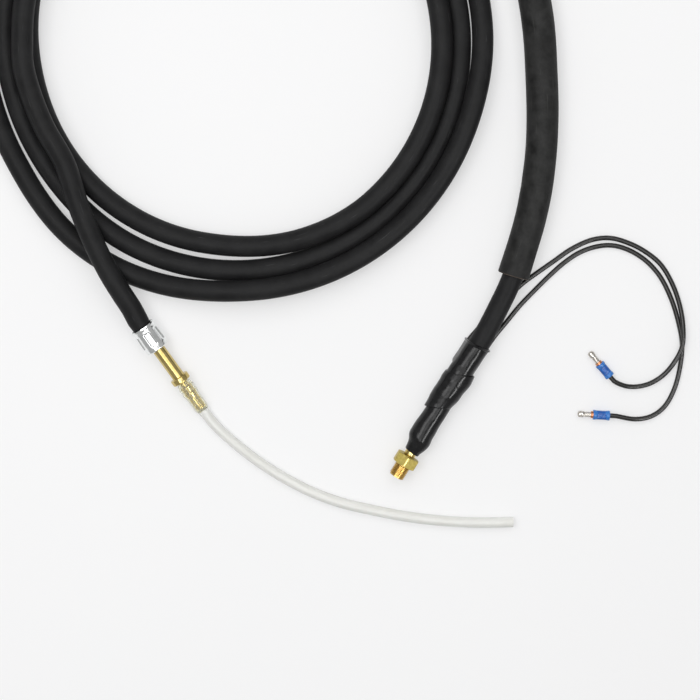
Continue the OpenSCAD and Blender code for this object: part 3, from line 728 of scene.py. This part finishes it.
def makeStem():
    s = stemSettings
    bevel, collar, barb = s["bevel"], s["length"], s["length"] + s["collarLength"]
    radius, collarRadius, ridgeRadius = s["radius"], s["collarRadius"], s["barbRadius"]
    end, ridge = barb + s["barbLength"], barb + 0.0034
    neck, tip = ridgeRadius - 0.0015, ridgeRadius - 0.0007
    tail, low, back = s["tailEnd"], s["tailRadius"] - bevel, -0.001
    outline = [
        (s["gasBore"], s["socketEnd"]), (s["gasBore"], end), (tip - 0.0006, end),
        (tip, end - 0.0006), (tip, ridge + 0.0086), (ridgeRadius, ridge + 0.0048),
        (tip, ridge + 0.0042), (ridgeRadius, ridge + 0.0006), (neck, ridge), (neck, barb),
        (collarRadius - bevel, barb), (collarRadius, barb - bevel), (collarRadius, collar + bevel),
        (collarRadius - bevel, collar), (radius, collar), (radius, -0.0014), (low, -0.0014)]
    for k in (3, 2, 1):
        w = tail + s["tailStep"] * k
        outline += [(low, w), (s["tailRadius"], w)]
    outline += [(low, tail), (s["tailBore"], tail), (s["tailBore"], back),
                (s["socketRadius"], back), (s["socketRadius"], s["socketEnd"])]
    stem = turned("brassStem", hoseFitting, outline, ease=0.00022)
    dress(stem, turnedBrass, "body", "brass", "barbed_stem")


makeStem()
print("hose fitting made")


# clear tube: stretched over the barb, then free to its square end

clearSettings = {
    "radius": 0.00325, "wall": 0.001, "sides": 48, "spacing": 0.0008, "cuffStart": 0.0255,
    "cuffLength": 0.0233, "stretchedEnd": 0.0475,
    "cuff": [(0.0, 0.0036), (0.0012, 0.0042), (0.003, 0.0049), (0.004, 0.0051),
             (0.005, 0.0048), (0.0062, 0.00465), (0.0073, 0.00485), (0.0082, 0.0051),
             (0.0092, 0.0048), (0.0105, 0.00448), (0.012, 0.00435), (0.0202, 0.00435),
             (0.0212, 0.0039), (0.0225, 0.0035), (0.0252, 0.00325)],
}
tubeRoute = [
    (-0.0725, -0.168, 0.00338), (-0.062, -0.178), (-0.047, -0.19), (-0.031, -0.2005),
    (-0.013, -0.21), (0.006, -0.217), (0.025, -0.2215), (0.044, -0.2253), (0.063, -0.2278),
    (0.081, -0.2292), (0.098, -0.2295), (0.112995, -0.229107),
]


def makeClearTube():
    s = clearSettings
    points = [hoseFitting.at(s["cuffStart"] + 0.0004 + 0.0046 * k) for k in range(5)]
    points += [hoseFitting.at(s["cuffStart"] + s["cuffLength"])] + laid(tubeRoute, s["radius"])
    path = splineThrough(points, s["spacing"])

    def outer(v, a):
        return lookup(s["cuff"], v)

    def inner(v, a):
        return outer(v, a) - s["wall"]

    clear = tube("clearTube", path, outer, inner, s["sides"], sharp=50.0)
    dress(clear, clearPvc, "body", "clear_plastic",
          "clear_tube_cuff", "clear_tube", "clear_tube_end")
    paint(clear, stretchedPvc, lambda centre: hoseFitting.measure(centre)[0] < s["stretchedEnd"])


makeClearTube()


# swivel nut: hexagon and thread

nutSettings = {
    "flats": 0.014, "hexLength": 0.0066, "hexRows": 52, "chamfer": 0.0011, "chamferSlope": 1.9,
    "wornRadius": 0.00784, "threadLength": 0.0086, "threadRadius": 0.005, "threadDepth": 0.00058,
    "pitch": 0.001, "threadedLength": 0.0072, "threadStart": 0.00075, "bore": 0.00306,
    "headBore": 0.00376, "seat": 0.0059, "sides": 144, "skin": 0.00003,
}


def makeNut():
    s = nutSettings
    corner = s["flats"] / 2 / math.cos(math.pi / 6)
    bevel, root = corner - s["chamfer"], s["threadRadius"] - s["threadDepth"]
    back, front, rows = -s["hexLength"], s["threadLength"], s["hexRows"]

    def shape(r, w, a):
        if r < root + 0.0004 or w > 0.00005:
            return r
        off = (a - math.pi / 6) % (math.pi / 3) - math.pi / 6
        flat = s["flats"] / 2 / math.cos(off)
        return min(flat, r, s["wornRadius"], bevel + s["chamferSlope"] * min(-w, w - back))

    outline = [(s["bore"], back), (bevel, back)]
    outline += [(corner, back - back * k / rows) for k in range(1, rows)]
    outline += [(bevel, 0.0), (root, 0.0), (root, front - 0.0002), (root - 0.0002, front),
                (s["headBore"], front), (s["headBore"], s["seat"]), (s["bore"], s["seat"])]
    nut = turned("swivelNutBody", connector, outline, s["sides"], ease=0.0, shape=shape, sharp=24.0)
    dress(nut, dullBrass, "nut", "brass", "swivel_nut")
    paint(nut, threadBrass, lambda centre: connector.measure(centre)[0] > s["skin"])
    paint(nut, turnedBrass,
          lambda centre: connector.measure(centre)[1] > s["wornRadius"] - s["skin"])


# a ridge along a helix, with its sizes as inputs
def threadTree():
    tree, given = startTree("fineThread", [
        ("Root Radius", "Float", 0.00442), ("Crest Radius", "Float", 0.00498),
        ("Pitch", "Float", 0.001), ("Length", "Float", 0.0072), ("Finish", "Material", None)])
    root, crest, pitch, length = [given.outputs[k] for k in range(4)]
    helix = added(tree, "GeometryNodeCurveSpiral", {
        "Resolution": 72, "Rotations": maths(tree, "DIVIDE", length, pitch), "Start Radius": root,
        "End Radius": root, "Height": length, "Reverse": True})  # right-handed
    depth = maths(tree, "SUBTRACT", crest, root)
    sink = maths(tree, "MULTIPLY", depth, -0.25)
    ridge = added(tree, "GeometryNodeCurvePrimitiveQuadrilateral", {}, mode="POINTS")
    for index, x, share in ((1, sink, -0.44), (2, depth, -0.08), (3, depth, 0.08), (4, sink, 0.44)):
        corner = added(tree, "ShaderNodeCombineXYZ", {
            "X": x, "Y": maths(tree, "MULTIPLY", pitch, share)})
        feed(tree, ridge, {f"Point {index}": corner.outputs[0]})
    draw = drawAlong(tree, helix.outputs[0], ridge.outputs[0])
    return endTree(tree, given, draw.outputs[0])


def makeThread():
    s = nutSettings
    mesh = bakeTree("nutThread", threadTree(), {
        "Root Radius": s["threadRadius"] - s["threadDepth"],
        "Crest Radius": s["threadRadius"] - 0.00002, "Pitch": s["pitch"],
        "Length": s["threadedLength"], "Finish": threadBrass})
    turn = Matrix((connector.side, connector.up, connector.out)).transposed().to_4x4()
    mesh.transform(Matrix.Translation(connector.at(s["threadStart"])) @ turn)
    dress(finishMesh("nutThread", mesh, 30.0), threadBrass, "nut", "brass")


makeNut()
makeThread()


# brass core of the connector

def makeCore():
    headEnd, tail, step = 0.0083, -0.0624, 0.0036
    outline = [
        (0.0015, headEnd - 0.0012), (0.0028, headEnd), (0.0034, headEnd),
        (0.0037, headEnd - 0.0003), (0.0037, headEnd - 0.0022), (0.003, headEnd - 0.0022),
        (0.003, -0.0068), (0.0036, -0.0068), (0.0036, -0.0101), (0.006, -0.0179),
        (0.006, -0.0429), (0.0055, -0.0434), (0.0041, -0.0434)]
    for k in (3, 2, 1):
        outline += [(0.0041, tail + step * k), (0.0037, tail + step * k)]
    outline += [(0.0035, tail), (0.0029, tail), (0.0029, -0.0434), (0.0025, -0.0434),
                (0.0025, -0.0334), (0.0015, -0.0334)]
    core = turned("connectorCore", connector, outline, ease=0.00018)
    dress(core, turnedBrass, "body", "brass", "connector_nipple")


def makeHiddenFerrule():
    outline = [(0.00415, -0.0464), (0.0061, -0.0464), (0.0064, -0.0468), (0.0075, -0.0504),
               (0.0075, -0.063), (0.0072, -0.0634), (0.0066, -0.0634), (0.0066, -0.0506),
               (0.0057, -0.0477), (0.00415, -0.0477)]
    ferrule = turned("hiddenFerrule", connector, outline, 72)
    dress(ferrule, zincPlate, "body", "plated_steel", "connector_ferrule")


makeCore()
makeHiddenFerrule()
print("connector made")


# heat-shrink: three tubes, the middle one lapped over the other two

shrinkSettings = {
    "sides": 96, "step": 0.0003, "wall": 0.00065, "wireSide": 0.006, "wireDrop": 0.00537,
    "wireRadius": 0.0015, "roundedRadius": 0.0078, "roundedSpan": (-0.0725, -0.068),
    "ease": 0.0012, "girth": 0.05, "rim": 0.0002, "rimWidth": 0.0003, "fold": 0.0007,
    "foldWidth": 0.0005,
    "front": {
        "node": "shrink_front", "rear": (-0.0474, 0.0), "front": (-0.0095, -0.0004),
        "radius": [(-0.0474, 0.0067), (-0.0454, 0.00685), (-0.0346, 0.00687), (-0.028, 0.0072),
                   (-0.0225, 0.0074), (-0.0195, 0.00768), (-0.0178, 0.0073), (-0.0157, 0.0064),
                   (-0.0133, 0.0058), (-0.0108, 0.00505), (-0.0095, 0.0049)],
        "shift": [(-0.0346, -0.0003), (-0.028, -0.00055), (-0.0225, -0.00045), (-0.0192, -0.00005),
                  (-0.0157, 0.0008), (-0.0133, 0.00065), (-0.0106, 0.0003), (-0.0095, 0.00015)],
    },
    "middle": {
        "node": "shrink_middle", "rear": (-0.0671, 0.0028), "front": (-0.0421, 0.0034),
        "radius": [(-0.0699, 0.0087), (-0.066, 0.00905), (-0.0633, 0.0092), (-0.061, 0.00925),
                   (-0.0575, 0.0088), (-0.0538, 0.00865), (-0.051, 0.0086), (-0.0475, 0.0081),
                   (-0.0439, 0.0077), (-0.0387, 0.0076)],
        "shift": [(-0.0699, 0.0), (-0.0633, 0.0001), (-0.0614, -0.0002), (-0.0538, -0.0005),
                  (-0.051, -0.0007), (-0.0465, -0.0012), (-0.0387, -0.0011)],
    },
    "rear": {
        "node": "shrink_rear", "rear": (-0.0879, 0.0006), "front": (-0.0632, 0.0),
        "radius": [(-0.0885, 0.0011), (-0.0855, 0.00085), (-0.075, 0.00085), (-0.0632, 0.00075)],
        "shift": [(-0.0879, 0.0001), (-0.075, -0.0001), (-0.066, -0.0005)],
    },
}


# distance from the hose's centre to a skin round the hose and the two leads
def bundleReach(a):
    s = shrinkSettings
    circles = [(0.0, 0.0, hoseSettings["radius"])]
    circles += [(k * s["wireSide"], -s["wireDrop"], s["wireRadius"]) for k in (-1, 1)]
    best = 1.0
    for k in range(-44, 45):
        n = a + math.radians(2.0 * k)
        support = max(x * math.cos(n) + y * math.sin(n) + r for x, y, r in circles)
        best = min(best, support / max(1e-6, math.cos(n - a)))
    return best


# lookup with its corners smoothed over a width
def eased(table, x, width):
    return sum(lookup(table, x + width * k / 4) for k in range(-4, 5)) / 9


def makeShrink(name, part, lumps):
    s, t = shrinkSettings, shrinkSettings[part]
    bundled, sides = part == "rear", s["sides"]
    reach = [bundleReach(2 * math.pi * k / sides) if bundled else 0.0 for k in range(sides)]
    (rear, rearSlant), (front, frontSlant) = t["rear"], t["front"]
    steps = round((front - rear) / s["step"])
    seed = 7.0 * len(name)
    outer, inner = [], []
    for i in range(steps + 1):
        ringOut, ringIn = [], []
        for k in range(sides):
            a = 2 * math.pi * k / sides
            x, y = math.cos(a), math.sin(a)
            low, high = rear - rearSlant * x, front - frontSlant * x
            w = low + (high - low) * i / steps
            r = eased(t["radius"], w, s["ease"])
            soft = noise.noise(Vector((w * 130.0, 1.1 * x + seed, 1.1 * y)))
            small = noise.noise(Vector((w * 420.0, 3.0 * x - seed, 3.0 * y)))
            if bundled:
                toRound = ramp(w, *s["roundedSpan"])
                r = (1 - toRound) * (reach[k] + r) + toRound * s["roundedRadius"]
                r += s["fold"] * math.exp(-((w - low - s["fold"]) / s["foldWidth"]) ** 2)
            edge = min(w - low, high - w)
            r += lumps * (soft + 0.18 * small) - s["rim"] * math.exp(-edge / s["rimWidth"])
            aside = eased(t["shift"], w, s["ease"]) * connector.side
            ringOut.append(connector.at(w, r, a) + aside)
            ringIn.append(connector.at(w, r - s["wall"], a) + aside)
        outer.append(ringOut)
        inner.append(ringIn)
    rings = outer + inner[::-1]
    along = [i * s["step"] for i in range(len(rings))]
    piece = loft(name, rings, along, s["girth"], 60.0)
    dress(piece, shrinkBlack, "body", "shrink_plastic", t["node"])


makeShrink("shrinkFront", "front", 0.00022)
makeShrink("shrinkMiddle", "middle", 0.00026)
makeShrink("shrinkRear", "rear", 0.0002)
print("heat-shrink made")


# control leads and their bullet terminals

leadSettings = {"radius": 0.0015, "sides": 20, "spacing": 0.0025}
terminalSettings = {
    "insulator": 0.0028, "flare": 0.00305, "insulatorLength": 0.0102, "flaredLength": 0.0023,
    "wireHole": 0.00156, "dents": [(1.0, 0.0031, 0.0009), (0.9, 0.0066, 0.0011)],
    "dentDepth": 0.0005, "oval": 0.00012, "sleeveRadius": 0.00219, "sleeveBore": 0.00167,
    "ringRadius": 0.00215, "ringFront": 0.0014, "ringBack": 0.004, "bulletRadius": 0.002,
    "bulletLength": 0.0084, "pinRadius": 0.00165, "strandHole": 0.00097,
}
terminalPlaces = {
    "Upper": Place((0.172, -0.1371, 0.00305), 130.5),
    "Lower": Place((0.1721, -0.1618, 0.00305), 176.7),
}
leadRoutes = {
    "Upper": [
        (0.09, -0.1075, 0.00249), (0.096, -0.1, 0.00159), (0.1035, -0.0925), (0.1125, -0.084),
        (0.118, -0.079), (0.124, -0.0745), (0.136, -0.066), (0.1475, -0.058), (0.16, -0.0525),
        (0.171, -0.0515), (0.182, -0.0545), (0.192, -0.0595), (0.202, -0.0675), (0.2095, -0.0795),
        (0.2145, -0.0935, 0.00255), (0.2165, -0.107, 0.0045), (0.216, -0.1185, 0.0048),
        (0.2115, -0.128, 0.0045), (0.205, -0.1365, 0.0027), (0.1965, -0.142, 0.00189),
        (0.188, -0.1438, 0.0021), (0.1815, -0.1432, 0.0027)],
    "Lower": [
        (0.1005, -0.112, 0.00249), (0.1075, -0.1035), (0.116, -0.093), (0.125, -0.0835),
        (0.134, -0.0745), (0.143, -0.0665), (0.152, -0.0605), (0.1615, -0.057), (0.1715, -0.056),
        (0.1815, -0.0585), (0.1925, -0.065), (0.2015, -0.0745), (0.2085, -0.0875),
        (0.2135, -0.102), (0.2165, -0.117), (0.2155, -0.1315), (0.212, -0.146),
        (0.206, -0.1568), (0.198, -0.1625, 0.0018), (0.188, -0.1641, 0.00261)],
}


def makeLead(which, sign):
    s = leadSettings
    place = terminalPlaces[which]
    beside = Vector((0.0, 0.0, -shrinkSettings["wireDrop"]))
    beside += sign * shrinkSettings["wireSide"] * connector.side
    points = [connector.at(-0.0709) + beside, connector.at(-0.0877) + beside]
    points += laid(leadRoutes[which], s["radius"])
    points += [place.at(-0.004), place.at(-0.001), place.at(0.0034)]
    path = splineThrough(points, s["spacing"])
    lead = swept("controlLead" + which, path, s["radius"], s["sides"], wirePvc, [1.0] * len(path))
    dress(lead, wirePvc, "body", "wire_plastic", "control_wire_" + which.lower())
    total = alongLengths(path)[-1]
    print("control lead", which, "length", round(total, 3))
    return lead, path, total


def makeInsulator(which):
    s = terminalSettings
    place = terminalPlaces[which]
    length, r, f, hole = s["insulatorLength"], s["insulator"], s["flare"], s["wireHole"]

    def shape(radius, w, a):
        if radius < 0.0024:
            return radius
        dent = sum(part * math.exp(-((w - at) / width) ** 2) for part, at, width in s["dents"])
        oval = s["oval"] * math.cos(2 * a) * hump(w, 0.001, 0.003, 0.007, 0.0095)
        return radius - s["dentDepth"] * dent * abs(math.sin(a)) ** 6 + min(0.0, oval)

    outline = [(hole, 0.0), (f, 0.0), (f, 0.0012), (r, 0.0024), (r, length - 0.0024),
               (f, length - 0.001), (f, length), (s["sleeveRadius"], length),
               (s["sleeveRadius"], 0.0038), (hole, 0.0032)]
    piece = turned("insulator" + which, place, finer(rounded(outline, 0.0002), 0.0003), 64,
                   ease=0.0, shape=shape, sharp=40.0)
    dress(piece, crimpBlue, "body", "blue_plastic", "insulator_" + which.lower())

    def flared(centre):
        w = place.measure(centre)[0]
        return min(w, length - w) < s["flaredLength"]

    paint(piece, flaredBlue, flared)
    return piece


def makeBullet(which):
    s = terminalSettings
    back, hole, rear = s["ringBack"], s["strandHole"], s["insulatorLength"] - 0.0009
    front = s["insulatorLength"] + s["ringFront"]
    r, pin, tip = s["bulletRadius"], s["pinRadius"], front + s["bulletLength"]
    nose, shank = tip - 0.6 * r, front + 0.36 * s["bulletLength"]
    outline = [(hole, back), (pin, back), (pin, shank), (pin + 0.00015, shank + 0.0002),
               (pin - 0.00012, shank + 0.0006), (pin - 0.0001, nose - 0.0032),
               (r, nose - 0.0022), (r, nose), (r * 0.94, nose + r * 0.22),
               (r * 0.75, nose + r * 0.42), (r * 0.4, tip - 0.0001), (0.0, tip), (0.0, rear),
               (hole, rear)]
    piece = turned("bulletPin" + which, terminalPlaces[which], outline, 72, 0.00025, sharp=45.0)
    return dress(piece, tinPlate, "body", "tin", "bullet_pin_" + which.lower())


def makeCrimpRing(which):
    s = terminalSettings
    bore, r, back = s["sleeveBore"], s["ringRadius"], s["ringBack"]
    front = s["insulatorLength"] + s["ringFront"]
    outline = [(bore, back), (r, back), (r, front), (bore, front)]
    piece = turned("crimpRing" + which, terminalPlaces[which], outline, 64, ease=0.00018)
    return dress(piece, bareCopper, "body", "copper", "crimp_ring_" + which.lower())


for which, sign in (("Upper", -1), ("Lower", 1)):
    lead, path, total = makeLead(which, sign)
    pieces = [makeInsulator(which), makeBullet(which), makeCrimpRing(which)]
print("control leads made")


# what stays inside: the conductor, and the strands in the crimps

for node in ("conductor_coil", "conductor_lead_left", "conductor_lead_right",
             "wire_strands_upper", "wire_strands_lower"):
    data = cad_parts[node].data
    data.materials.clear()
    data.materials.append(bareCopper)


# floor and studio light

studioSettings = {
    "dark": (0.87665, 0.87665, 0.881575), "light": (0.89, 0.89, 0.895), "paperGlow": 0.45,
    "paperWhite": 0.97, "airStrength": 0.42, "fadeStart": 0.7, "fadeEnd": 2.6, "floorHalf": 4.0,
    "floorHeight": -0.0002, "reflectedOnly": ("stripSoftbox", "frontSoftbox"),
    "softboxes": {
        "sideSoftbox": ((-0.08, 0.36, 1.36), (0.01, -0.12, 0.0), (1.7, 1.7), 15.0),
        "keySoftbox": ((-0.423, 0.038, 1.222), (-0.02, -0.15, 0.0), (0.5, 0.5), 2.6),
        "stripSoftbox": ((0.84, -0.62, 1.18), (0.06, -0.15, 0.0), (0.9, 0.25), 9.0),
        "frontSoftbox": ((-0.043, -0.556, 1.24), (-0.095, -0.135, 0.0), (0.6, 0.5), 2.8),
    },
}


# how far the paper turns to plain white: for seen rays only, and wholly so far out
def paperShare(tree, s):
    rays = tree.nodes.new("ShaderNodeLightPath").outputs
    seen = rays["Is Camera Ray"]
    for label in ("Is Glossy Ray", "Is Transmission Ray"):
        seen = maths(tree, "ADD", seen, rays[label], clamp=True)
    reach = added(tree, "ShaderNodeVectorMath", {0: scaled(tree, "Object")}, operation="LENGTH")
    share = ranged(tree, reach.outputs["Value"], s["paperGlow"], 1.0, s["fadeStart"], s["fadeEnd"])
    return maths(tree, "MULTIPLY", seen, share, clamp=True)


def makeFloor():
    s = studioSettings
    h, z = s["floorHalf"], s["floorHeight"]
    mesh = bpy.data.meshes.new("studioFloor")
    mesh.from_pydata([(-h, -h, z), (h, -h, z), (h, h, z), (-h, h, z)], [], [(0, 1, 2, 3)])
    mat, tree, shader = startMaterial("studioPaper")
    fibre = noiseAt(tree, scaled(tree, "Object"), 2.5, 2.0)
    feed(tree, shader, {
        "Roughness": 0.9, "Specular IOR Level": 0.1, "Base Color": toned(tree, s, fibre)})
    glow = added(tree, "ShaderNodeEmission", {"Strength": s["paperWhite"]})
    mix = added(tree, "ShaderNodeMixShader", {
        "Fac": paperShare(tree, s), 1: shader.outputs[0], 2: glow.outputs[0]})
    feed(tree, tree.nodes["Material Output"], {"Surface": mix.outputs[0]})
    mesh.materials.append(mat)
    floor = linked("studioFloor", mesh)


def makeSoftbox(name, place, target, size, power):
    data = bpy.data.lights.new(name, "AREA")
    data.shape = "RECTANGLE"
    data.size, data.size_y = size
    data.energy = power
    lamp = linked(name, data)
    lamp.location = place
    lamp.rotation_euler = (Vector(place) - Vector(target)).to_track_quat("Z", "Y").to_euler()
    lamp.visible_diffuse = name not in studioSettings["reflectedOnly"]


def makeAir():
    world = bpy.data.worlds.new("studioAir")
    scene.world = world
    world.use_nodes = True
    rays = world.node_tree.nodes.new("ShaderNodeLightPath").outputs
    strength = ranged(world.node_tree, rays["Is Camera Ray"], studioSettings["airStrength"],
                      studioSettings["paperWhite"])
    feed(world.node_tree, world.node_tree.nodes["Background"], {
        "Color": (1.0, 1.0, 1.0, 1.0), "Strength": strength})


makeFloor()
for name, values in studioSettings["softboxes"].items():
    makeSoftbox(name, *values)
makeAir()
print("studio ready")
